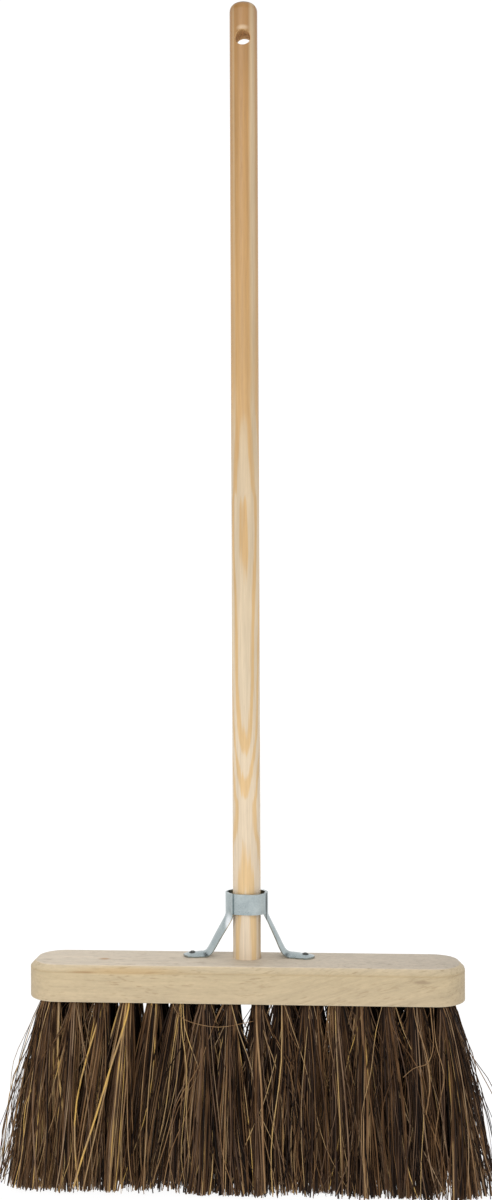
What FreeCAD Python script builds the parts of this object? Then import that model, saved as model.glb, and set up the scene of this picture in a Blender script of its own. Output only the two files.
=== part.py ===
import FreeCAD, Part
import math
import os

# Push broom: a round hanging handle, a bare hardwood stock, a two-piece pressed
# steel stay between them, and 48 stapled tufts of stiff natural bass fibre.
# Millimetres. +X runs along the stock, -Y is the front, +Z is up. The origin is
# on the floor under the middle of the stock, level with the bristle tips.

Vec = FreeCAD.Vector
UP = Vec(0, 0, 1)

# ---------------------------------------------------------------- dimensions

# Stock (the wooden block)
stock_length = 457.0          # 18 inch
stock_depth = 77.0
stock_thickness = 38.0
stock_corner_radius = 33.0    # plan view
stock_top_chamfer = 6.0
stock_bottom_round = 1.5

# Bristles
bristle_length = 194.0        # from the underside of the stock to the floor
tuft_columns = 16
tuft_rows = ("front", "middle", "back")
column_pitch = 27.0
row_pitch = 24.0
tuft_hole_diameter = 16.0
tuft_hole_depth = 13.0
tuft_clearance = 0.1          # radial, between a tuft root and its hole
brush_floor_length = 480.0    # spread of the tips along the stock
brush_floor_depth = 110.0     # spread of the tips front to back
tuft_gap = 0.8                # between neighbouring tufts at the floor
tuft_corner_radius = 6.0      # of a tuft's cell at the floor

# Staples that anchor the folded tufts
staple_wire = 1.2
staple_width = 9.0
staple_bite = 4.0             # into the wood beyond the hole
staple_sink = 4.0             # crown below the end of the hole

# Handle
handle_diameter = 29.5
handle_length = 1031.0
handle_offset = 9.0           # socket centre behind the stock's centre line
handle_top_round = 9.0
handle_foot_chamfer = 1.0
socket_depth = 19.0
socket_clearance = 0.1        # radial
hang_hole_diameter = 16.0
hang_hole_drop = 40.0         # hole centre below the top of the handle
hang_hole_chamfer = 0.6

# Stay: two L-shaped pressings that together make an oval collar and two legs
sheet = 1.5
collar_bottom = 48.0          # above the top of the stock
collar_height = 21.5
collar_flat_half = 4.6        # half the distance between the two end arcs
collar_inner_radius = 15.0
lap_gap = 0.05                # between the two sheets where they overlap
strip_width = 22.0
collar_bend_radius = 8.0
foot_bend_radius = 9.0
bend_stations = 4             # cross sections through each bend
foot_stations = 4             # and along the foot
ankle_arch_radius = 17.0      # across the foot at the ankle, middle of the sheet
toe_arch_radius = 45.0        # and at the toe
toe_round = 12.5              # plan view
foot_hole_diameter = 4.8
collar_hole_diameter = 3.8

# Each side of the stay, in its own frame with the leg towards +X. Angles are
# in degrees about the handle, anticlockwise from above.
#   arm_end     where the band's free end lies under the other half
#   leg_slope   of the leg, from upright
#   leg_turn    direction the leg faces where it leaves the collar
#   ankle_turn  direction the leg faces where it meets the foot
#   ankle_back  sideways place of that line
#   foot_turn   direction the foot points
#   foot_length from the ankle to the toe
#   hole_inset  screw hole from the toe
stay_sides = {
    "stay_right": dict(rotation=0, arm_end=185, leg_slope=26, leg_turn=11,
                       ankle_turn=-4, ankle_back=6.0, foot_turn=-20,
                       foot_length=24.5, hole_inset=9.5),
    "stay_left": dict(rotation=180, arm_end=160, leg_slope=31, leg_turn=22,
                      ankle_turn=13, ankle_back=-5.5, foot_turn=8,
                      foot_length=20.0, hole_inset=9.5),
}

# Screws
foot_screw = dict(head_diameter=7.2, head_height=1.7, shank_diameter=4.2,
                  length=18.0)
collar_screw = dict(head_diameter=7.0, head_height=2.2, shank_diameter=3.4,
                    length=14.0)
recess_depth = 0.9
recess_width = 0.9
recess_share = 0.55           # of the head's diameter
screw_tip = 3.0
screw_tip_radius = 0.3

# ------------------------------------------------------------ derived places

stock_bottom = bristle_length
stock_top = stock_bottom + stock_thickness
handle_bottom = stock_top - socket_depth
handle_top = handle_bottom + handle_length
handle_radius = handle_diameter / 2
tuft_hole_end = stock_bottom + tuft_hole_depth
handle_foot = Vec(0, handle_offset, stock_top)
collar_outer_radius = collar_inner_radius + sheet + lap_gap  # inner face, outer sheet
# A straight run of the collar is tangent to both arcs, so it leans by the lap.
band_lean = math.degrees(math.asin((sheet + lap_gap) / (2 * collar_flat_half)))


def cylinder(radius, height, base, axis=UP):
    return Part.makeCylinder(radius, height, base, axis)


def rounded_rectangle(centre, width, depth, radius):
    """Closed wire of four lines and four arcs in a horizontal plane."""
    hx = width / 2
    hy = depth / 2
    edges = []
    corners = ((1, -1, -90), (1, 1, 0), (-1, 1, 90), (-1, -1, 180))
    arcs = []
    for sx, sy, start in corners:
        middle = centre + Vec(sx * (hx - radius), sy * (hy - radius), 0)
        spots = []
        for turn in (start, start + 45, start + 90):
            angle = math.radians(turn)
            spots.append(middle + Vec(radius * math.cos(angle), radius * math.sin(angle), 0))
        arcs.append(spots)
    for here, following in zip(arcs, arcs[1:] + arcs[:1]):
        edges.append(Part.Arc(*here).toShape())
        edges.append(Part.LineSegment(here[2], following[0]).toShape())
    return Part.Wire(edges)


def edges_at_height(shape, z):
    """Edges that lie wholly in the horizontal plane at z."""
    return [e for e in shape.Edges
            if abs(e.BoundBox.ZMin - z) < 1e-4 and abs(e.BoundBox.ZMax - z) < 1e-4]


# ----------------------------------------------------------------- positions

def tuft_root(row, column):
    """Centre of a tuft hole on the underside of the stock."""
    x = (column - (tuft_columns - 1) / 2) * column_pitch
    return Vec(x, (row - 1) * row_pitch, stock_bottom)


# -------------------------------------------------------------------- handle

def make_handle():
    """Round dowel, rounded over at the top, with a hanging hole front to back."""
    dowel = cylinder(handle_radius, handle_length, Vec(0, handle_offset, handle_bottom))
    dowel = dowel.makeFillet(handle_top_round, edges_at_height(dowel, handle_top))
    dowel = dowel.makeChamfer(handle_foot_chamfer, edges_at_height(dowel, handle_bottom))
    hole_start = Vec(0, handle_offset - handle_diameter, handle_top - hang_hole_drop)
    hole = cylinder(hang_hole_diameter / 2, 2 * handle_diameter, hole_start, Vec(0, 1, 0))
    drilled = dowel.cut(hole)
    # Broken edge: the two saddle-shaped rims of the hole.
    rims = []
    for edge in drilled.Edges:
        box = edge.BoundBox
        if abs(box.XLength - hang_hole_diameter) < 0.2 and box.ZLength > 1:
            rims.append(edge)
    return drilled.makeChamfer(hang_hole_chamfer, rims) if rims else drilled


# --------------------------------------------------------------------- stock

def make_stock():
    """Block with rounded ends, drilled from below for tufts and above for the handle."""
    plan = rounded_rectangle(Vec(0, 0, stock_bottom), stock_length, stock_depth,
                             stock_corner_radius)
    block = Part.Face(plan).extrude(UP * stock_thickness)
    block = block.makeChamfer(stock_top_chamfer, edges_at_height(block, stock_top))
    block = block.makeFillet(stock_bottom_round, edges_at_height(block, stock_bottom))
    holes = []
    for row in range(len(tuft_rows)):
        for column in range(tuft_columns):
            holes.append(cylinder(tuft_hole_diameter / 2, tuft_hole_depth,
                                  tuft_root(row, column)))
    holes.append(cylinder(handle_radius + socket_clearance, socket_depth + 1,
                          Vec(0, handle_offset, handle_bottom)))
    return block.cut(Part.makeCompound(holes))


# --------------------------------------------------------------------- tufts

def make_tuft(row, column):
    """Plain envelope of one tuft: a round root that spreads to its cell at the floor."""
    root = tuft_root(row, column)
    cell_width = brush_floor_length / tuft_columns
    cell_depth = brush_floor_depth / len(tuft_rows)
    tip = Vec((column + 0.5 - tuft_columns / 2) * cell_width, (row - 1) * cell_depth, 0)
    radius = tuft_hole_diameter / 2 - tuft_clearance
    top = rounded_rectangle(root, 2 * radius, 2 * radius, radius * 0.98)
    bottom = rounded_rectangle(tip, cell_width - tuft_gap, cell_depth - tuft_gap,
                               tuft_corner_radius)
    spread = Part.makeLoft([bottom, top], True, True)
    plug = cylinder(radius, tuft_hole_depth, root)
    return spread.fuse(plug).removeSplitter()


def make_staple(root):
    """U of wire over the fold of a tuft, with two short legs in the wood."""
    crown_z = tuft_hole_end - staple_sink
    leg_length = staple_sink + staple_bite
    half = staple_width / 2
    crown = cylinder(staple_wire / 2, staple_width, Vec(root.x - half, root.y, crown_z),
                     Vec(1, 0, 0))
    parts = []
    for side in (-half, half):
        foot = Vec(root.x + side, root.y, crown_z)
        parts.append(cylinder(staple_wire / 2, leg_length, foot))
        parts.append(Part.makeSphere(staple_wire / 2, foot))
    return crown.fuse(parts).removeSplitter()


# ---------------------------------------------------------------------- stay

def direction(degrees):
    angle = math.radians(degrees)
    return Vec(math.cos(angle), math.sin(angle), 0)


def arc_edge(centre, radius, start, end):
    """Arc about centre from one angle to another, in degrees."""
    spots = [centre + direction(a) * radius for a in (start, (start + end) / 2, end)]
    return Part.Arc(*spots).toShape()


def make_band(arm_end, tab_end):
    """Half of the collar: inner sheet on the far arc, outer sheet on its own arc."""
    far = Vec(-collar_flat_half, 0, collar_bottom)
    own = Vec(collar_flat_half, 0, collar_bottom)
    tangent = 270 - band_lean
    edges = []
    ends = []
    for extra in (0, sheet):
        far_radius = collar_inner_radius + extra
        own_radius = collar_outer_radius + extra
        far_arc = arc_edge(far, far_radius, arm_end, tangent)
        run = Part.LineSegment(far + direction(tangent) * far_radius,
                               own + direction(tangent) * own_radius).toShape()
        own_arc = arc_edge(own, own_radius, tangent - 360, tab_end)
        edges += [far_arc, run, own_arc]
        ends.append((far + direction(arm_end) * far_radius,
                     own + direction(tab_end) * own_radius))
    for inner, outer in zip(*ends):
        edges.append(Part.LineSegment(inner, outer).toShape())
    outline = Part.Wire(Part.__sortEdges__(edges))
    return Part.Face(outline).extrude(UP * collar_height)


def blend(first, last, share):
    return first + (last - first) * share


def blend_radius(first, last, share):
    """Between two radii, by curvature."""
    return 1 / blend(1 / first, 1 / last, share)


def crown_height(arch_radius):
    """Middle of the sheet over the wood, for a strip that rests on its two edges."""
    inner_radius = arch_radius - sheet / 2
    return sheet / 2 + inner_radius * (1 - math.cos(strip_width / arch_radius / 2))


def strip_section(middle, side, outward, bow_radius):
    """Cross section of the leg and foot: a strip bowed about a centre inside it."""
    centre = middle - outward * bow_radius
    half_angle = strip_width / bow_radius / 2

    def spot(radius, angle):
        return centre + (outward * math.cos(angle) + side * math.sin(angle)) * radius

    outer = [spot(bow_radius + sheet / 2, a) for a in (-half_angle, 0, half_angle)]
    inner = [spot(bow_radius - sheet / 2, a) for a in (half_angle, 0, -half_angle)]
    edges = [
        Part.Arc(*outer).toShape(),
        Part.LineSegment(outer[2], inner[0]).toShape(),
        Part.Arc(*inner).toShape(),
        Part.LineSegment(inner[2], outer[0]).toShape(),
    ]
    return Part.Wire(edges)


def leg_path(leg_slope):
    """Stations down a leg, collar to foot: (travel, height, lean in radians)."""
    slope = math.radians(leg_slope)
    drop = collar_bottom - crown_height(ankle_arch_radius)
    bends = (collar_bend_radius * math.sin(slope)
             + foot_bend_radius * (1 - math.sin(slope)))
    run = (drop - bends) / math.cos(slope)
    stations = []
    for step in range(bend_stations + 1):
        lean = slope * step / bend_stations
        stations.append((collar_bend_radius * (1 - math.cos(lean)),
                         collar_bottom - collar_bend_radius * math.sin(lean), lean))
    travel, height, lean = stations[-1]
    for share in (1 / 3, 2 / 3, 1):
        stations.append((travel + run * share * math.sin(slope),
                         height - run * share * math.cos(slope), slope))
    travel, height, lean = stations[-1]
    for step in range(1, bend_stations + 1):
        lean = slope + (math.pi / 2 - slope) * step / bend_stations
        stations.append((travel + foot_bend_radius * (math.cos(slope) - math.cos(lean)),
                         height - foot_bend_radius * (math.sin(lean) - math.sin(slope)),
                         lean))
    return stations


def make_leg(leg_slope, leg_turn, ankle_turn, ankle_back, foot_turn, foot_length):
    """Loft of the bowed strip from the collar to the toe, and the toe's place."""
    bow_top = collar_outer_radius + sheet / 2
    start = Vec(collar_flat_half, 0, 0) + direction(leg_turn) * bow_top
    stations = leg_path(leg_slope)
    total = stations[-1][0]
    aside = ankle_back - start.y
    reach = math.sqrt(total * total - aside * aside)
    sections = []
    for travel, height, lean in stations:
        share = travel / total
        middle = start + Vec(reach * share, aside * share, height)
        facing = direction(blend(leg_turn, ankle_turn, share))
        outward = facing * math.cos(lean) + UP * math.sin(lean)
        bow = blend_radius(bow_top, ankle_arch_radius, share)
        sections.append(strip_section(middle, UP.cross(facing), outward, bow))
    # The foot turns sideways over its first half and flattens all along.
    for step in range(1, foot_stations + 1):
        share = step / foot_stations
        ahead = direction(blend(ankle_turn, foot_turn, min(1, 2 * share)))
        middle += ahead * (foot_length / foot_stations)
        arch_radius = blend_radius(ankle_arch_radius, toe_arch_radius, share)
        middle.z = crown_height(arch_radius)
        sections.append(strip_section(middle, UP.cross(ahead), UP, arch_radius))
    return Part.makeLoft(sections, True, False), middle


def make_foot_trim(toe, foot_turn, hole_inset):
    """What is cut away at the foot: the toe's corners and the screw hole."""
    height = crown_height(ankle_arch_radius) + 4 * sheet
    low = -2 * sheet
    corners = Part.makeBox(2 * toe_round, 2 * strip_width, height,
                           Vec(-toe_round, -strip_width, low))
    corners = corners.cut(cylinder(toe_round, height, Vec(-toe_round, 0, low)))
    hole = cylinder(foot_hole_diameter / 2, height, Vec(-hole_inset, 0, low))
    trim = Part.makeCompound([corners, hole])
    trim.rotate(Vec(0, 0, 0), UP, foot_turn)
    trim.translate(Vec(toe.x, toe.y, 0))
    return trim


def screw_line(toe, foot_turn, foot_length, hole_inset):
    """Line square to the foot's crown at the screw hole, from the sheet's top inwards."""
    ahead = direction(foot_turn)
    share = 1 - hole_inset / foot_length
    crown = crown_height(blend_radius(ankle_arch_radius, toe_arch_radius, share))
    fall = math.atan((crown - toe.z) / hole_inset)
    square = UP * math.cos(fall) + ahead * math.sin(fall)
    seat = toe - ahead * hole_inset
    seat.z = crown
    seat += square * (sheet / 2)
    return Part.LineSegment(seat, seat - square).toShape()


def place_stay(shape, rotation):
    shape.rotate(Vec(0, 0, 0), UP, rotation)
    shape.translate(handle_foot)
    return shape


def make_stay(rotation, arm_end, leg_slope, leg_turn, ankle_turn, ankle_back,
              foot_turn, foot_length, hole_inset):
    """One half of the stay, and its foot screw's seat and direction."""
    half_angle = math.degrees(strip_width / (collar_outer_radius + sheet / 2) / 2)
    band = make_band(arm_end, leg_turn + half_angle)
    leg, toe = make_leg(leg_slope, leg_turn, ankle_turn, ankle_back, foot_turn,
                        foot_length)
    half = band.fuse(leg.cut(make_foot_trim(toe, foot_turn, hole_inset)))
    line = place_stay(screw_line(toe, foot_turn, foot_length, hole_inset), rotation)
    seat, inside = [vertex.Point for vertex in line.Vertexes]
    return place_stay(half, rotation), seat, inside - seat


# -------------------------------------------------------------------- screws

def make_screw(seat, into, head_diameter, head_height, shank_diameter, length):
    """Round-head wood screw with a cross recess. seat is under the head."""
    radius = head_diameter / 2
    ball_radius = (radius ** 2 + head_height ** 2) / (2 * head_height)
    ball = Part.makeSphere(ball_radius, Vec(0, 0, head_height - ball_radius))
    head = ball.common(cylinder(radius, head_height, Vec(0, 0, 0)))
    long_side = head_diameter * recess_share
    for width, depth in ((long_side, recess_width), (recess_width, long_side)):
        slot = Part.makeBox(width, depth, recess_depth,
                            Vec(-width / 2, -depth / 2, head_height - recess_depth))
        head = head.cut(slot)
    shank = cylinder(shank_diameter / 2, length - screw_tip, Vec(0, 0, screw_tip - length))
    point = Part.makeCone(screw_tip_radius, shank_diameter / 2, screw_tip,
                          Vec(0, 0, -length))
    screw = head.fuse([shank, point]).removeSplitter()
    turn = FreeCAD.Rotation(Vec(0, 0, -1), into)
    screw.Placement = FreeCAD.Placement(seat, turn)
    return screw


# ------------------------------------------------------------------ assembly

os.makedirs("parts", exist_ok=True)
nodes = {}

stock = make_stock()
handle = make_handle()

staples = []
for row, row_name in enumerate(tuft_rows):
    for column in range(tuft_columns):
        staple = make_staple(tuft_root(row, column))
        staples.append(staple)
        nodes[f"tuft_{row_name}_{column + 1:02d}"] = make_tuft(row, column).cut(staple)
nodes["tuft_staples"] = Part.makeCompound(staples)
stock = stock.cut(nodes["tuft_staples"])

foot_screws = []
for name, side in stay_sides.items():
    nodes[name], seat, inwards = make_stay(**side)
    foot_screws.append(make_screw(seat, inwards, **foot_screw))
nodes["stay_foot_screws"] = Part.makeCompound(foot_screws)
stock = stock.cut(nodes["stay_foot_screws"])

# The collar screw enters from behind, square to the rear band, into the handle.
rearward = direction(90 - band_lean)
band_inside = collar_inner_radius + collar_flat_half * math.sin(math.radians(band_lean))
screw_height = UP * (collar_bottom + collar_height / 2)
screw_seat = handle_foot + screw_height + rearward * (band_inside + sheet)
nodes["stay_collar_screw"] = make_screw(screw_seat, -rearward, **collar_screw)
collar_hole = cylinder(collar_hole_diameter / 2, 3 * sheet,
                       screw_seat + rearward * sheet, -rearward)
nodes["stay_left"] = nodes["stay_left"].cut(collar_hole)

nodes["handle"] = handle.cut(nodes["stay_collar_screw"])
nodes["stock"] = stock

for name, shape in nodes.items():
    print(f"{name:20s} solids {len(shape.Solids)} valid {shape.isValid()} "
          f"volume {shape.Volume / 1000:.2f} cm3")
    shape.exportStep(f"parts/{name}.step")
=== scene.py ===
import math
import random
from collections import namedtuple

import bpy
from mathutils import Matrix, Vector


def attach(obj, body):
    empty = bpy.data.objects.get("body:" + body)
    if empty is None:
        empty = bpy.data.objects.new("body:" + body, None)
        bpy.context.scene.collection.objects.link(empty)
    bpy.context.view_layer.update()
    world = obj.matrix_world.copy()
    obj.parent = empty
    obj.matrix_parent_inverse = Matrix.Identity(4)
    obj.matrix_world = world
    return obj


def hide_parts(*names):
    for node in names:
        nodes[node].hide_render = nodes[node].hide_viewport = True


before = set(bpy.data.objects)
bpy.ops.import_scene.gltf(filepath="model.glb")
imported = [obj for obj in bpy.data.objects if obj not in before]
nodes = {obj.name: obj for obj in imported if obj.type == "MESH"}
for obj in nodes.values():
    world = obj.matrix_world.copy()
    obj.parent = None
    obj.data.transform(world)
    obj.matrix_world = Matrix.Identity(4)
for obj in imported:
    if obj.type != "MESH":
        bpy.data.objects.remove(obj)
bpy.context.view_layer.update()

# Push broom looks: wood, zinc-plated steel and one mesh of loose fibres for each
# tuft, all in the CAD frame (metres, +Z up, -Y the front, floor at z = 0).
# Colours are display values from 0 to 255.

# ---------------------------------------------------------------- dimensions

MM = 0.001
STOCK_BOTTOM = 0.194
STOCK_TOP = 0.232
HANDLE_Y = 0.009              # the handle stands behind the middle of the stock
HANDLE_RADIUS = 0.01475
HANDLE_TOP = 1.244
HOLE_Z = 1.204
HOLE_RADIUS = 0.008
TUFT_ROWS = ("front", "middle", "back")
TUFT_COLUMNS = 16
COLUMN_PITCH = 0.027          # between tuft holes along the stock
ROW_PITCH = 0.024             # between rows of tuft holes
CELL_WIDTH = 0.030            # each tuft's share of the floor, along and across
CELL_DEPTH = 0.0367
ROOT_RADIUS = 0.0074          # of a tuft in its hole
ROOT_Z = 0.203                # the strands start inside the holes
ALBEDO = 0.86                 # of the woods' display colours, under this stage's light


# ------------------------------------------------------------- node shortcuts

def linear(red, green, blue):
    """Linear colour from 0-255 display values."""
    channels = []
    for value in (red, green, blue):
        share = value / 255
        channels.append(share / 12.92 if share <= 0.04045 else ((share + 0.055) / 1.055) ** 2.4)
    return (*channels, 1.0)


class Graph:
    """Short calls that build the shader nodes of one material or world."""

    def __init__(self, owner, shader="Principled BSDF", place="Object"):
        owner.use_nodes = True
        self.owner = owner
        self.tree = owner.node_tree
        self.shader = self.tree.nodes[shader]
        self.position = self.node("ShaderNodeTexCoord").outputs[place]

    def node(self, kind, inputs=None, **settings):
        """New node with its settings, and its inputs as values or links."""
        made = self.tree.nodes.new(kind)
        for name, value in settings.items():
            setattr(made, name, value)
        for socket, value in (inputs or {}).items():
            self.put(made.inputs[socket], value)
        return made

    def put(self, socket, value):
        """Link or constant for one input."""
        if isinstance(value, bpy.types.NodeSocket):
            self.tree.links.new(value, socket)
        else:
            socket.default_value = value

    def calc(self, operation, *values, clamp=False):
        """One step of arithmetic."""
        made = self.node("ShaderNodeMath", dict(enumerate(values)), operation=operation,
                         use_clamp=clamp)
        return made.outputs[0]

    def scaled(self, factors, offset=(0, 0, 0), place=None):
        """Place times factors, plus offset. The place is the position unless given."""
        place = place or self.position
        made = self.node("ShaderNodeVectorMath", {0: place, 1: factors, 2: offset},
                         operation="MULTIPLY_ADD")
        return made.outputs[0]

    def axes(self):
        """The position's x, y and z."""
        made = self.node("ShaderNodeSeparateXYZ", {0: self.position})
        return made.outputs[0], made.outputs[1], made.outputs[2]

    def noise(self, factors, detail=2.0, roughness=0.5, offset=(0, 0, 0), place=None):
        """Noise from 0 to 1 with its own scale on each axis, in features per metre."""
        made = self.node("ShaderNodeTexNoise",
                         {"Vector": self.scaled(factors, offset, place), "Scale": 1.0,
                          "Detail": detail, "Roughness": roughness})
        return made.outputs[0]

    def spot(self, centre, sizes, strength):
        """Strength at centre, fading to nothing at an ellipsoid of the given half sizes."""
        factors = tuple(1 / size for size in sizes)
        offset = tuple(-c / size for c, size in zip(centre, sizes))
        made = self.node("ShaderNodeVectorMath", {0: self.scaled(factors, offset)},
                         operation="LENGTH")
        return self.span(made.outputs["Value"], 1.0, 0.2, 0.0, strength, smooth=True)

    def span(self, value, low, high, to_low=0.0, to_high=1.0, smooth=False):
        """Value remapped from low-high to to_low-to_high, held at the ends."""
        made = self.node("ShaderNodeMapRange",
                         {0: value, 1: low, 2: high, 3: to_low, 4: to_high}, clamp=True)
        made.interpolation_type = "SMOOTHSTEP" if smooth else "LINEAR"
        return made.outputs[0]

    def ramp(self, value, stops):
        """Colour ramp; stops are (place, (red, green, blue))."""
        made = self.node("ShaderNodeValToRGB", {0: value})
        elements = made.color_ramp.elements
        while len(elements) < len(stops):
            elements.new(1.0)
        for element, (place, colour) in zip(elements, stops):
            element.position = place
            element.color = linear(*colour)
        return made.outputs[0]

    def curve(self, value, low, high, points):
        """Smooth curve through (place, height) points, with heights from low to high."""
        start = points[0][0]
        stop = points[-1][0]
        made = self.node("ShaderNodeFloatCurve", {"Value": self.span(value, start, stop)})
        line = made.mapping.curves[0]
        while len(line.points) < len(points):
            line.points.new(0.5, 0.5)
        for knot, (place, height) in zip(line.points, points):
            knot.location = ((place - start) / (stop - start), (height - low) / (high - low))
        made.mapping.update()
        return self.span(made.outputs[0], 0.0, 1.0, low, high)

    def mix(self, factor, first, second):
        """Blend of two colours."""
        made = self.node("ShaderNodeMixRGB", {"Fac": factor, "Color1": first, "Color2": second})
        return made.outputs[0]

    def shade(self, colour, factor):
        """Colour times a grey factor."""
        made = self.node("ShaderNodeVectorMath", {0: colour, "Scale": factor},
                         operation="SCALE")
        return made.outputs[0]

    def tone(self, colour, value, low, high, dark, light):
        """Colour times dark to light, as the value goes from low to high."""
        return self.shade(colour, self.span(value, low, high, dark, light))

    def stray(self, value, noise, amount):
        """Value plus noise, which strays by half the amount either way."""
        shift = self.calc("MULTIPLY", self.calc("SUBTRACT", noise, 0.5), amount)
        return self.calc("ADD", value, shift)

    def marks(self, colour, marks):
        """Colour with soft marks on it, each (centre, half sizes, strength, colour)."""
        for centre, sizes, strength, tint in marks:
            colour = self.mix(self.spot(centre, sizes, strength), colour, linear(*tint))
        return colour

    def bump(self, height, distance):
        """Normal of a surface raised by height times distance."""
        made = self.node("ShaderNodeBump", {"Height": height, "Distance": distance,
                                            "Strength": 1.0})
        return made.outputs[0]

    def finish(self, **sockets):
        """Put the shader's inputs, named with _ for a space, and return the owner."""
        for name, value in sockets.items():
            self.put(self.shader.inputs[name.replace("_", " ")], value)
        return self.owner


def paint(name, material):
    """Give one CAD node its material."""
    mesh = nodes[name].data
    mesh.materials.clear()
    mesh.materials.append(material)


# -------------------------------------------------------------------- woods

def handle_wood():
    """Amber wood that pales downwards, with nested cream rings on its lower part."""
    g = Graph(bpy.data.materials.new("handle_wood"))
    x, y, z = g.axes()
    # Growth rings: the front face cuts them as long nested tongues. The field is
    # even on amber rings and odd on cream ones, and falls away to both sides.
    crest = g.curve(z, -4.0, 4.0, [
        (0.200, -1.1), (0.281, -1.5), (0.320, -2.0), (0.354, -2.5), (0.372, -3.0),
        (0.390, -3.0), (0.405, -2.4), (0.418, -1.9), (0.428, -1.4), (0.438, -1.0),
        (0.447, -0.5), (0.458, 0.0), (0.470, 0.45), (0.490, 0.8), (0.580, 1.1),
        (0.633, 1.4), (0.680, 1.9), (0.712, 1.8), (0.728, 1.35), (0.760, 1.0),
        (0.801, 0.5), (0.830, 0.1), (0.900, 0.0),
    ])
    spread = g.curve(z, 0.0, 0.1, [
        (0.200, 0.0088), (0.281, 0.0085), (0.305, 0.0056), (0.355, 0.0056), (0.400, 0.0100),
        (0.450, 0.0140), (0.600, 0.0115), (0.900, 0.0100),
    ])
    # Millimetres to the side of the figure's middle, which is a little to the left.
    across = g.calc("MULTIPLY", g.calc("ADD", x, 0.4 * MM), 1 / MM)
    arch = g.calc("MULTIPLY", g.calc("MULTIPLY", across, across), spread)
    field = g.calc("SUBTRACT", crest, arch)
    depth = g.calc("SUBTRACT", y, HANDLE_Y - HANDLE_RADIUS)
    rings_per_metre = 50.0
    field = g.calc("SUBTRACT", field, g.calc("MULTIPLY", depth, rings_per_metre))
    wander = g.noise((55, 55, 9))
    feather = g.noise((420, 420, 14))
    field = g.stray(field, wander, 1.3)
    field = g.stray(field, feather, 1.1)
    wave = g.calc("COSINE", g.calc("MULTIPLY", field, math.pi))
    ring = g.span(wave, 0.85, -0.45, smooth=True)
    # The upper part is plain, and darker towards the hanging hole.
    plain = g.span(z, 0.76, 0.86, smooth=True)
    amber_tone = g.ramp(g.span(z, 0.24, 1.24), [
        (0.0, (222, 190, 142)), (0.10, (221, 187, 137)), (0.30, (217, 180, 126)),
        (0.52, (203, 163, 108)), (0.70, (194, 151, 93)), (0.88, (182, 137, 78)),
        (1.0, (163, 119, 66)),
    ])
    cream_tone = g.ramp(g.span(z, 0.24, 0.84), [
        (0.0, (227, 207, 180)), (0.5, (219, 199, 168)), (1.0, (203, 178, 142)),
    ])
    ring = g.calc("MULTIPLY", ring, g.calc("SUBTRACT", 1.0, plain))
    # Two painted highlights run down the plain part as pale lines, left and right of the
    # middle: painted reflections of lights at the sides.
    right = g.spot((0.0095, -0.0023, 1.04), (0.0050, 0.02, 0.42), 1.0)
    left = g.spot((-0.0102, -0.0017, 1.04), (0.0020, 0.02, 0.42), 0.5)
    cream_and_gloss = g.calc("ADD", ring, g.calc("ADD", left, right), clamp=True)
    colour = g.mix(cream_and_gloss, amber_tone, cream_tone)
    blotch = g.noise((90, 90, 12), detail=3.0, offset=(3, 7, 1))
    streak = g.noise((430, 430, 9), detail=4.0, roughness=0.7)
    pores = g.span(g.noise((1500, 1500, 60), detail=1.0), 0.60, 0.72)
    colour = g.tone(colour, blotch, 0.35, 0.65, 0.94, 1.04)
    colour = g.tone(colour, streak, 0.38, 0.62, 0.92, 1.06)
    colour = g.tone(colour, pores, 0, 1, 1.0, 0.94)
    # End grain is darker on the rounded end, and a painted highlight lies as a pale crescent on
    # the edge over the hole.
    end_grain = g.span(z, HANDLE_TOP - 4.0 * MM, HANDLE_TOP - 0.8 * MM, 1.0, 0.40, smooth=True)
    colour = g.shade(colour, end_grain)
    colour = g.marks(colour, [((0.0, -0.006, 1.2140), (0.0085, 0.010, 0.0040), 0.55,
                               (226, 200, 166))])
    # Rough end grain shows inside the hanging hole.
    from_hole = g.node("ShaderNodeVectorMath",
                       {0: g.scaled((1, 0, 1), (0, 0, -HOLE_Z))}, operation="LENGTH")
    bore = g.span(from_hole.outputs["Value"], HOLE_RADIUS + 0.5 * MM, HOLE_RADIUS + 0.1 * MM)
    speckle = g.noise((900, 900, 900))
    colour = g.mix(bore, colour, g.ramp(g.span(speckle, 0.35, 0.65), [
        (0.0, (176, 136, 84)), (1.0, (238, 196, 138))]))
    height = g.calc("SUBTRACT", streak, g.calc("MULTIPLY", pores, 0.6))
    return g.finish(Base_Color=g.shade(colour, ALBEDO),
                    Roughness=g.calc("MULTIPLY_ADD", bore, 0.55,
                                     g.span(streak, 0.3, 0.7, 0.34, 0.42)),
                    Normal=g.bump(height, 0.08 * MM))


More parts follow.
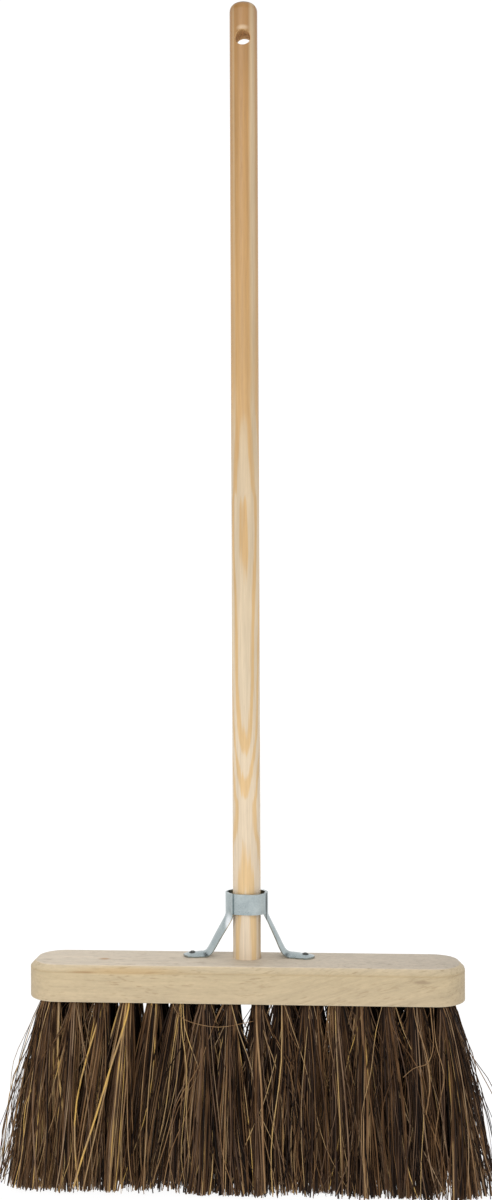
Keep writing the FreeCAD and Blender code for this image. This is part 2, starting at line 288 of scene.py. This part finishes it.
def stock_wood():
    """Pale planed wood with a sawn top."""
    g = Graph(bpy.data.materials.new("stock_wood"))
    x, y, z = g.axes()
    # Up the front: lighter on the bottom bevel, a dark line under the top chamfer, and the
    # chamfer painted lighter, a painted highlight from the light above.
    body = g.ramp(g.span(z, STOCK_BOTTOM, STOCK_TOP), [
        (0.0, (214, 198, 166)), (0.05, (199, 179, 145)), (0.78, (200, 180, 144)),
        (0.82, (190, 168, 130)), (0.86, (212, 192, 156)), (0.95, (214, 195, 162)),
        (1.0, (220, 201, 168)),
    ])
    # The sawn top is greyer than the front and painted lighter, as painted light from above,
    # and lighter again towards the left.
    lit_sawn_top = g.span(z, STOCK_TOP - 0.8 * MM, STOCK_TOP - 0.1 * MM)
    colour = g.mix(lit_sawn_top, body, g.ramp(g.span(x, -0.2, 0.2), [
        (0.0, (232, 217, 195)), (1.0, (214, 200, 180))]))
    # Long grain, level on the left and rising to the right beyond the middle.
    steepest = 0.27
    rising = g.span(x, -0.06, 0.12, 0.0, steepest, smooth=True)
    lifted = g.calc("SUBTRACT", z, g.calc("MULTIPLY", x, rising))
    grain = g.node("ShaderNodeCombineXYZ", {0: x, 1: y, 2: lifted}).outputs[0]
    broad = g.noise((6, 45, 150), detail=3.0, roughness=0.6, place=grain)
    fine = g.noise((36, 190, 420), detail=4.0, roughness=0.7, place=grain)
    mottle = g.noise((150, 260, 330), detail=3.0, roughness=0.6, offset=(8, 1, 5))
    fleck = g.span(g.noise((95, 380, 520), place=grain), 0.57, 0.70)
    patch = g.span(g.noise((14, 30, 30), detail=1.0, offset=(4, 2, 9)), 0.40, 0.60)
    colour = g.tone(colour, broad, 0.3, 0.7, 0.93, 1.05)
    colour = g.tone(colour, fine, 0.3, 0.7, 0.90, 1.07)
    colour = g.tone(colour, mottle, 0.3, 0.7, 0.95, 1.04)
    flecks = g.calc("MULTIPLY", fleck, g.span(patch, 0, 1, 0.10, 0.42))
    colour = g.mix(flecks, colour, linear(148, 120, 82))
    # Thin dark ring lines, where the grain rises.
    level = g.calc("MULTIPLY_ADD", broad, 7.0, g.calc("MULTIPLY", lifted, 60.0))
    lines = g.span(g.calc("FRACT", level), 0.86, 1.0)
    colour = g.tone(colour, g.calc("MULTIPLY", lines, rising), 0.0, steepest, 1.0, 0.90)
    # A warm streak along the left of the top edge, a knot, and two dark smudges.
    colour = g.marks(colour, [
        ((-0.120, -0.036, 0.2270), (0.085, 0.014, 0.005), 0.45, (201, 163, 104)),
        ((-0.150, -0.006, 0.232), (0.0085, 0.006, 0.003), 0.75, (190, 142, 88)),
        ((0.182, -0.038, 0.2195), (0.013, 0.02, 0.0028), 0.5, (128, 104, 78)),
        ((-0.168, -0.037, 0.2255), (0.020, 0.01, 0.0018), 0.5, (150, 112, 66)),
    ])
    # Both rounded ends are painted a little darker, as painted shade where they turn away from
    # the light, and the right half is a little darker too.
    colour = g.tone(colour, g.calc("ABSOLUTE", x), 0.205, 0.226, 1.0, 0.93)
    colour = g.tone(colour, x, -0.15, 0.2, 1.0, 0.94)
    height = g.calc("SUBTRACT", fine, g.calc("MULTIPLY", fleck, 0.7))
    return g.finish(Base_Color=g.shade(colour, ALBEDO),
                    Roughness=g.span(fine, 0.3, 0.7, 0.58, 0.68),
                    Normal=g.bump(height, 0.18 * MM))


# -------------------------------------------------------------------- metals

def zinc_steel(name, light, dark, roughness, marks=()):
    """Cloudy plated steel with soft marks on it."""
    g = Graph(bpy.data.materials.new(name))
    cloud = g.noise((60, 60, 60), detail=4.0, roughness=0.6)
    spots = g.noise((700, 700, 700))
    blend = g.calc("ADD", g.calc("MULTIPLY", cloud, 0.7), g.calc("MULTIPLY", spots, 0.3))
    colour = g.ramp(g.span(blend, 0.3, 0.7), [(0.0, dark), (1.0, light)])
    uneven = 0.06
    return g.finish(Base_Color=g.marks(colour, marks), Metallic=1.0,
                    Roughness=g.span(cloud, 0.3, 0.7, roughness - uneven, roughness + uneven),
                    Normal=g.bump(spots, 0.04 * MM))


# -------------------------------------------------------------------- fibres

def bass_fibre():
    """Brown plant fibre. Each strand carries its own shade from 0 to 1."""
    g = Graph(bpy.data.materials.new("bass_fibre"))
    shade = g.node("ShaderNodeAttribute", attribute_name="strand_shade").outputs["Fac"]
    along = g.noise((110, 110, 26), detail=3.0, roughness=0.6)
    value = g.calc("ADD", shade, g.span(along, 0.3, 0.7, -0.13, 0.13), clamp=True)
    colour = g.ramp(value, [
        (0.0, (14, 6, 2)), (0.22, (42, 25, 12)), (0.42, (80, 56, 34)),
        (0.58, (113, 83, 54)), (0.74, (141, 110, 77)), (0.90, (165, 136, 98)),
        (1.0, (202, 163, 90)),
    ])
    # Some strands are greyer: a second random value drawn from the first.
    grey = g.span(g.calc("FRACT", g.calc("MULTIPLY", shade, 41.7)), 0.62, 0.72)
    cool = g.mix(0.5, colour, g.ramp(value, [
        (0.0, (20, 13, 10)), (0.5, (88, 71, 61)), (1.0, (150, 130, 110))]))
    return g.finish(Base_Color=g.mix(grey, colour, cool), Roughness=0.62,
                    Specular_IOR_Level=0.14)


OPEN_GAPS = (2, 3, 4, 7)      # daylight shows to the right of these columns
GAP_PINCH = 0.78              # of the root radius, on the side of such a gap
STRANDS = {"front": 215, "middle": 100, "back": 140}
END_STRANDS = 50              # more in the first and last column
CLUMPS = 8                    # in a tuft: the strands gather into these
WANDERING = 0.17              # share of strands that cross their neighbours
LOOSE = 0.25                  # share of strands that leave their clump
SPLAYED = 0.45                # share of an end column's strands that splay
SPLAY = 9                     # millimetres that they splay by at most
LEAN = 0.007                  # of the left half of the brush, to the left
LEAN_COLUMNS = 8.5            # how many columns lean, the middle ones most of all
MAX_RISE = 12                 # millimetres from the floor to a tip at most
MIN_WIDTH = 0.6               # millimetres across a strand
MAX_WIDTH = 3.2
TIP_X = 0.257                 # no tip is further out than these
TIP_Y = 0.0545
REACH_X = 0.2610              # no strand goes further out than these
REACH_Y = 0.0655
STATIONS = 10                 # points along a strand
SIDES = 5                     # corners of a strand's section
TAPER = 0.12                  # share of its width that a strand loses to the tip
STRIP_EDGES = (0.15, 0.85)    # of a strand's texture strip, leaving a margin
FIRST_SEED = 600
SEEDS_PER_ROW = 1000

# How far clumps and strands stray, as spreads along and across the stock in millimetres.
CLUMP_LEAN = (8.0, 4.0)
CLUMP_BOW = (2.8, 2.0)
CLUMP_WAVE = (2.2, 1.3)
WANDERING_TIP = (36, 7)
WANDERING_STEP = (7, 1.5)
LOOSE_TIP = (13, 7)
LOOSE_BOW = (4.5, 2.5)
LOOSE_WAVE = (1.5, 0.8)
BUNCHED_TIP = (3.0, 2.4)
BUNCHED_BOW = (1.1, 0.9)

# How soon a strand goes out to the side: a low power goes out at once.
END_HURRY = (0.55, 0.9)
STRAIGHT_HURRY = (0.95, 1.3)
WIDE_HURRY = (0.25, 0.55)

# A strand's shade runs from 0, the darkest, to 1, golden.
MEAN_SHADE = 0.40
SHADE_SPREAD = 0.25
# The middle and back rows are painted darker: painted shade, where they lie behind the front
# row.
ROW_PAINTED_SHADE = {"front": 0.0, "middle": -0.26, "back": -0.14}

# Strands that stand out: (row, column from 0): [(width, shade, points)], all in
# millimetres. Points run from the root down, as x along the stock, y back to front
# and z height.
LONE_STRANDS = {
    ("front", 0): [
        (1.2, 0.12, [(-208, -27, 203), (-216, -36, 176), (-231, -40, 140), (-243, -44, 96),
                     (-256, -47, 62)]),
        (1.1, 0.15, [(-207, -28, 203), (-214, -37, 172), (-232, -43, 120),
                     (-245, -48, 60), (-254, -50, 8)]),
    ],
    ("front", 3): [(3.3, 0.97, [(-120, -27, 203), (-122, -38, 180), (-137, -53, 130),
                                (-151, -61, 83), (-164, -62, 44), (-174, -60, 11)])],
    ("front", 4): [(1.5, 0.85, [(-92, -28, 203), (-93, -38, 170), (-98, -46, 110),
                                (-101, -52, 50), (-103, -55, 7)])],
    ("front", 5): [(1.1, 0.72, [(-72, -28, 203), (-73, -40, 193), (-60, -47, 180),
                                (-26, -50, 174), (10, -48, 180)])],
    ("front", 8): [(2.2, 0.70, [(12, -28, 203), (13, -38, 170), (18, -47, 110),
                                (20, -53, 50), (22, -55, 7)])],
    ("front", 11): [(2.6, 0.62, [(96, -28, 203), (97, -38, 170), (103, -47, 110),
                                 (107, -53, 50), (106, -55, 6)])],
    ("front", 13): [(1.1, 0.75, [(173, -28, 203), (176, -42, 180), (186, -52, 150),
                                 (189, -56, 120), (185, -60, 92)])],
    ("front", 14): [
        (1.1, 0.75, [(190, -28, 203), (192, -42, 180), (193, -50, 158), (187, -54, 142),
                     (173, -56, 137), (162, -57, 128)]),
        (1.4, 0.75, [(194, -28, 203), (196, -38, 160), (204, -45, 128), (200, -49, 104),
                     (196, -52, 78), (194, -54, 60)]),
    ],
    ("front", 15): [
        (1.2, 0.10, [(208, -28, 203), (214, -36, 186), (228, -40, 162), (233, -43, 130),
                     (246, -46, 100), (261, -48, 66)]),
        (1.1, 0.12, [(208, -27, 203), (216, -36, 176), (231, -42, 125), (244, -47, 66),
                     (250, -50, 4)]),
    ],
}

# A clump's place is a share of the hole's radius, its cut is in millimetres, and the
# other lengths are in metres.
Clump = namedtuple("Clump", "place lean bow wave phase hurry cut tint")
Strand = namedtuple("Strand", "path width flatness shade")


def scatter(rng, spreads):
    """Random horizontal offset with the given spreads in millimetres."""
    along, across = spreads
    return Vector((rng.gauss(0, along), rng.gauss(0, across), 0)) * MM


def hold(value, limit):
    """Value held between minus the limit and the limit."""
    return max(-limit, min(limit, value))


def strand_path(root, tip, clump, bow, wave):
    """Points down one strand from inside the stock to its tip."""
    points = []
    for step in range(STATIONS):
        share = step / (STATIONS - 1)
        point = root + (tip - root) * share ** clump.hurry
        point += bow * math.sin(math.pi * share)
        point += wave * (share * math.sin(2 * math.pi * share + clump.phase))
        point.z = root.z + (tip.z - root.z) * share
        points.append(point)
    return points


def smooth_path(spots, between):
    """Catmull-Rom curve through the spots, in so many steps between each two."""
    spots = [spots[0] * 2 - spots[1], *spots, spots[-1] * 2 - spots[-2]]
    path = []
    for a, b, c, d in zip(spots, spots[1:], spots[2:], spots[3:]):
        for step in range(between):
            t = step / between
            path.append((b * 2 + (c - a) * t + (a * 2 - b * 5 + c * 4 - d) * t ** 2
                         + (b * 3 - a - c * 3 + d) * t ** 3) / 2)
    return path + [spots[-2]]


def wander_path(rng, root, tip):
    """Curve from root to tip that strays to both sides."""
    spots = [root]
    stray = Vector((0, 0, 0))
    for share in (0.18, 0.38, 0.58, 0.80):
        stray = stray + scatter(rng, WANDERING_STEP)
        spots.append(root + (tip - root) * share + stray * math.sin(math.pi * share))
    return smooth_path(spots + [tip], between=3)


def tuft_clumps(rng, end, open_front):
    """The clumps of one tuft, each with its own bend and shade."""
    if end:
        hurries = END_HURRY
    elif open_front:
        hurries = STRAIGHT_HURRY
    else:
        hurries = WIDE_HURRY
    clumps = []
    for _ in range(CLUMPS):
        angle = rng.uniform(0, 2 * math.pi)
        place = Vector((math.cos(angle), math.sin(angle), 0)) * math.sqrt(rng.random())
        clumps.append(Clump(
            place=place, hurry=rng.uniform(*hurries), lean=scatter(rng, CLUMP_LEAN),
            bow=scatter(rng, CLUMP_BOW), wave=scatter(rng, CLUMP_WAVE),
            phase=rng.uniform(0, 2 * math.pi), cut=abs(rng.gauss(0, 1.0)),
            tint=rng.gauss(0, 0.08)))
    return clumps


def tuft_strands(rng, row, column):
    """All strands of one tuft."""
    row_name = TUFT_ROWS[row]
    centre = Vector(((column - (TUFT_COLUMNS - 1) / 2) * COLUMN_PITCH,
                     (row - 1) * ROW_PITCH, ROOT_Z))
    cell = Vector(((column + 0.5 - TUFT_COLUMNS / 2) * CELL_WIDTH, (row - 1) * CELL_DEPTH, 0))
    cell.x -= LEAN * max(0.0, math.sin(math.pi * (column - 0.5) / LEAN_COLUMNS))
    end = (column == TUFT_COLUMNS - 1) - (column == 0)      # -1 left, 1 right, 0 between
    near_gap = column in OPEN_GAPS or column - 1 in OPEN_GAPS
    clumps = tuft_clumps(rng, end, row_name == "front" or near_gap)
    mean_tint = sum(clump.tint for clump in clumps) / CLUMPS
    # The left half of the brush is lighter, most of all at its end.
    column_tint = 0.07 - 0.13 * min(1.0, max(0.0, (column - 1) / 7))
    strands = []
    for _ in range(STRANDS[row_name] + (END_STRANDS if end else 0)):
        clump = rng.choice(clumps)
        bow = clump.bow
        wave = clump.wave
        # Where the strand stands in the hole, as a share of its radius.
        spot = clump.place + Vector((rng.gauss(0, 0.25), rng.gauss(0, 0.25), 0))
        if spot.length > 1:
            spot = spot.normalized() * rng.uniform(0.9, 1.0)
        gap = column if spot.x > 0 else column - 1
        at_gap = gap in OPEN_GAPS
        root = centre + spot * (ROOT_RADIUS * (GAP_PINCH if at_gap else 1.0))
        tip = cell + clump.lean + Vector((spot.x * CELL_WIDTH / 2, spot.y * CELL_DEPTH / 2, 0))
        kind = rng.random()
        width = min(MAX_WIDTH, max(MIN_WIDTH, rng.lognormvariate(0.16, 0.42))) * MM
        shade = rng.gauss(MEAN_SHADE + clump.tint - mean_tint + column_tint
                          + ROW_PAINTED_SHADE[row_name], SHADE_SPREAD)
        # Painted light down the middle of each tuft, and painted shade at its sides, for the
        # tuft's round form.
        shade += 0.11 - 0.24 * abs(spot.x)      # lighter down the middle of the tuft
        wanders = kind < WANDERING and not at_gap
        if wanders:
            tip += scatter(rng, WANDERING_TIP)
            width = rng.uniform(0.7, 1.3) * MM
            shade += 0.12
        elif kind < WANDERING + LOOSE:
            tip += scatter(rng, LOOSE_TIP)
            bow = bow + scatter(rng, LOOSE_BOW)
            wave = wave + scatter(rng, LOOSE_WAVE)
        else:
            tip += scatter(rng, BUNCHED_TIP)
            bow = bow + scatter(rng, BUNCHED_BOW)
        if end and rng.random() < SPLAYED:
            tip.x += end * rng.uniform(0, SPLAY) * MM
        # A strand that leans out ends a little higher.
        rise = (tip - root).xy.length ** 2 / (2 * ROOT_Z) / MM
        tip.z = min(clump.cut + abs(rng.gauss(0, 1.0)) + rise, MAX_RISE) * MM
        tip.x = hold(tip.x, TIP_X)
        tip.y = hold(tip.y, TIP_Y)
        if wanders:
            path = wander_path(rng, root, tip)
        else:
            path = strand_path(root, tip, clump, bow, wave)
        strands.append(Strand(path, width, rng.uniform(0.5, 0.85), min(1.0, max(0.0, shade))))
    for width, shade, points in LONE_STRANDS.get((row_name, column), []):
        spots = [Vector(point) * MM for point in points]
        strands.append(Strand(smooth_path(spots, between=4), width * MM, 0.6, shade))
    for strand in strands:
        for point in strand.path:
            point.x = hold(point.x, REACH_X)
            point.y = hold(point.y, REACH_Y)
    return strands


def sweep(strand, twist, turn):
    """Rings of vertices of one oval strand, turned at the root and twisted to the tip."""
    rings = []
    path = strand.path
    last = len(path) - 1
    for index, point in enumerate(path):
        ahead = path[min(index + 1, last)] - path[max(index - 1, 0)]
        along = ahead.normalized()
        side = along.cross(Vector((0, 1, 0))).normalized()
        out = along.cross(side)
        share = index / last
        half = strand.width / 2 * (1 - TAPER * share ** 3)
        roll = turn + twist * share
        ring = []
        for corner in range(SIDES):
            angle = 2 * math.pi * corner / SIDES
            wide = math.cos(angle) * half
            thick = math.sin(angle) * half * strand.flatness
            ring.append(point
                        + side * (wide * math.cos(roll) - thick * math.sin(roll))
                        + out * (wide * math.sin(roll) + thick * math.cos(roll)))
        rings.append(ring)
    return rings


def build_tuft(row, column, material):
    """One mesh of loose strands in place of one tuft's solid."""
    rng = random.Random(FIRST_SEED + SEEDS_PER_ROW * row + column)
    vertices = []
    faces = []
    shades = []
    uvs = []
    strands = tuft_strands(rng, row, column)
    for number, strand in enumerate(strands):
        rings = sweep(strand, rng.uniform(-1.5, 1.5), rng.uniform(0, math.pi))
        start = len(vertices)
        for ring in rings:
            vertices.extend(ring)
        last = len(rings) - 1
        shades.extend([strand.shade] * (len(rings) * SIDES))
        # Each strand has its own upright strip of the texture space.
        left = (number + STRIP_EDGES[0]) / len(strands)
        right = (number + STRIP_EDGES[1]) / len(strands)
        for step in range(last):
            low = step / last
            high = (step + 1) / last
            here = start + step * SIDES
            for corner in range(SIDES):
                following = (corner + 1) % SIDES
                faces.append((here + corner, here + following,
                              here + SIDES + following, here + SIDES + corner))
                uvs += [(left, low), (right, low), (right, high), (left, high)]
        faces.append(tuple(start + c for c in reversed(range(SIDES))))
        uvs += [(left, 0.0)] * SIDES
        faces.append(tuple(start + last * SIDES + c for c in range(SIDES)))
        uvs += [(left, 1.0)] * SIDES
    name = f"fibres_{TUFT_ROWS[row]}_{column + 1:02d}"
    mesh = bpy.data.meshes.new(name)
    mesh.from_pydata(vertices, [], faces)
    layer = mesh.uv_layers.new(name="OFBake")
    layer.data.foreach_set("uv", [value for pair in uvs for value in pair])
    attribute = mesh.attributes.new("strand_shade", "FLOAT", "POINT")
    attribute.data.foreach_set("value", shades)
    mesh.materials.append(material)
    mesh.shade_smooth()
    tuft = bpy.data.objects.new(name, mesh)
    bpy.context.scene.collection.objects.link(tuft)
    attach(tuft, "root")
    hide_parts(f"tuft_{TUFT_ROWS[row]}_{column + 1:02d}")


# --------------------------------------------------------------------- stage

def backdrop():
    """Pale round floor that curves up into a wall."""
    profile = [(0.0, 0.0), (7.0, 0.0), (7.7, 0.08), (8.4, 0.4), (8.9, 1.0), (9.2, 1.9),
               (9.3, 3.0), (9.3, 7.0)]
    around = 96
    vertices = [(0.0, 0.0, 0.0)]
    for radius, height in profile[1:]:
        for step in range(around):
            angle = 2 * math.pi * step / around
            vertices.append((radius * math.cos(angle), radius * math.sin(angle), height))
    faces = []
    for step in range(around):
        following = (step + 1) % around
        faces.append((0, 1 + step, 1 + following))
        for band in range(len(profile) - 2):
            low = 1 + band * around
            high = low + around
            faces.append((low + step, high + step, high + following, low + following))
    mesh = bpy.data.meshes.new("backdrop")
    mesh.from_pydata(vertices, [], faces)
    mesh.shade_smooth()
    floor = bpy.data.objects.new("backdrop", mesh)
    bpy.context.scene.collection.objects.link(floor)
    g = Graph(bpy.data.materials.new("backdrop_paper"))
    _, y, z = g.axes()
    grain = g.noise((3, 3, 3))
    paper = g.ramp(g.span(grain, 0.3, 0.7), [(0.0, (88, 88, 88)), (1.0, (92, 92, 92))])
    # The wall behind the photo's camera glows more strongly than the rest.
    everywhere = 0.93
    more_ahead = 0.55
    wall = g.span(z, 0.1, 1.2, smooth=True)
    ahead = g.span(y, -4.0, -8.5, 0.0, more_ahead, smooth=True)
    glow = g.calc("MULTIPLY_ADD", wall, ahead, everywhere)
    mesh.materials.append(g.finish(Base_Color=paper, Roughness=0.9, Emission_Strength=1.0,
                                   Emission_Color=g.shade((1, 1, 1), glow)))


def studio():
    """White light from above the wall, weaker from both sides."""
    g = Graph(bpy.data.worlds.new("studio"), "Background", "Generated")
    x, _, _ = g.axes()
    level = g.span(g.calc("ABSOLUTE", x), 0.2, 0.7, 1.0, 0.1)
    bpy.context.scene.world = g.finish(Color=(1, 1, 1, 1), Strength=level)


def softbox(name, place, aim, size, power):
    """Square area light that faces the aim."""
    light = bpy.data.lights.new(name, "AREA")
    light.shape = "SQUARE"
    light.size = size
    light.energy = power
    lamp = bpy.data.objects.new(name, light)
    lamp.location = place
    lamp.rotation_euler = (Vector(aim) - Vector(place)).to_track_quat("-Z", "Y").to_euler()
    bpy.context.scene.collection.objects.link(lamp)


def camera():
    """The photo's view, from a little to the right and half way up the broom."""
    data = bpy.data.cameras.new("camera")
    data.lens = 45.15
    data.sensor_width = 36
    data.dof.use_dof = False
    data.clip_start = 0.05
    data.clip_end = 60
    made = bpy.data.objects.new("camera", data)
    distance = 1.589
    height = 0.6112
    shift = 0.001                 # centres the brush in the picture
    turn = math.radians(3.9)      # towards the right end of the stock
    roll = math.radians(0.22)     # the handle leans a little to the left
    made.location = (distance * math.sin(turn) + shift, -distance * math.cos(turn), height)
    made.rotation_euler = (math.pi / 2, roll, turn)
    bpy.context.scene.collection.objects.link(made)
    bpy.context.scene.camera = made


# ------------------------------------------------------------------ assembly

paint("handle", handle_wood())
paint("stock", stock_wood())
stay_steel = zinc_steel("stay_steel", (184, 193, 193), (142, 154, 157), 0.30, [
    # Painted shadow in the two joints of the collar.
    ((-0.0126, -0.0086, 0.2907), (0.0017, 0.0040, 0.030), 0.9, (46, 50, 50)),
    ((0.0212, 0.0030, 0.2907), (0.0014, 0.0070, 0.030), 0.9, (46, 50, 50)),
    # A painted highlight on the left bend.
    ((-0.0185, -0.0040, 0.2710), (0.0060, 0.0100, 0.0130), 0.8, (244, 247, 250)),
])
paint("stay_left", stay_steel)
paint("stay_right", stay_steel)
screw_steel = zinc_steel("screw_steel", (112, 114, 112), (78, 80, 78), 0.38)
paint("stay_foot_screws", screw_steel)
paint("stay_collar_screw", screw_steel)
paint("tuft_staples", zinc_steel("staple_wire", (150, 150, 148), (112, 112, 110), 0.4))

fibre = bass_fibre()
for row in range(len(TUFT_ROWS)):
    for column in range(TUFT_COLUMNS):
        build_tuft(row, column, fibre)

backdrop()
softbox("key", place=(-1.2, -3.4, 2.2), aim=(0, 0, 0.6), size=1.8, power=27)
studio()
bpy.context.scene.view_settings.view_transform = "Standard"
camera()
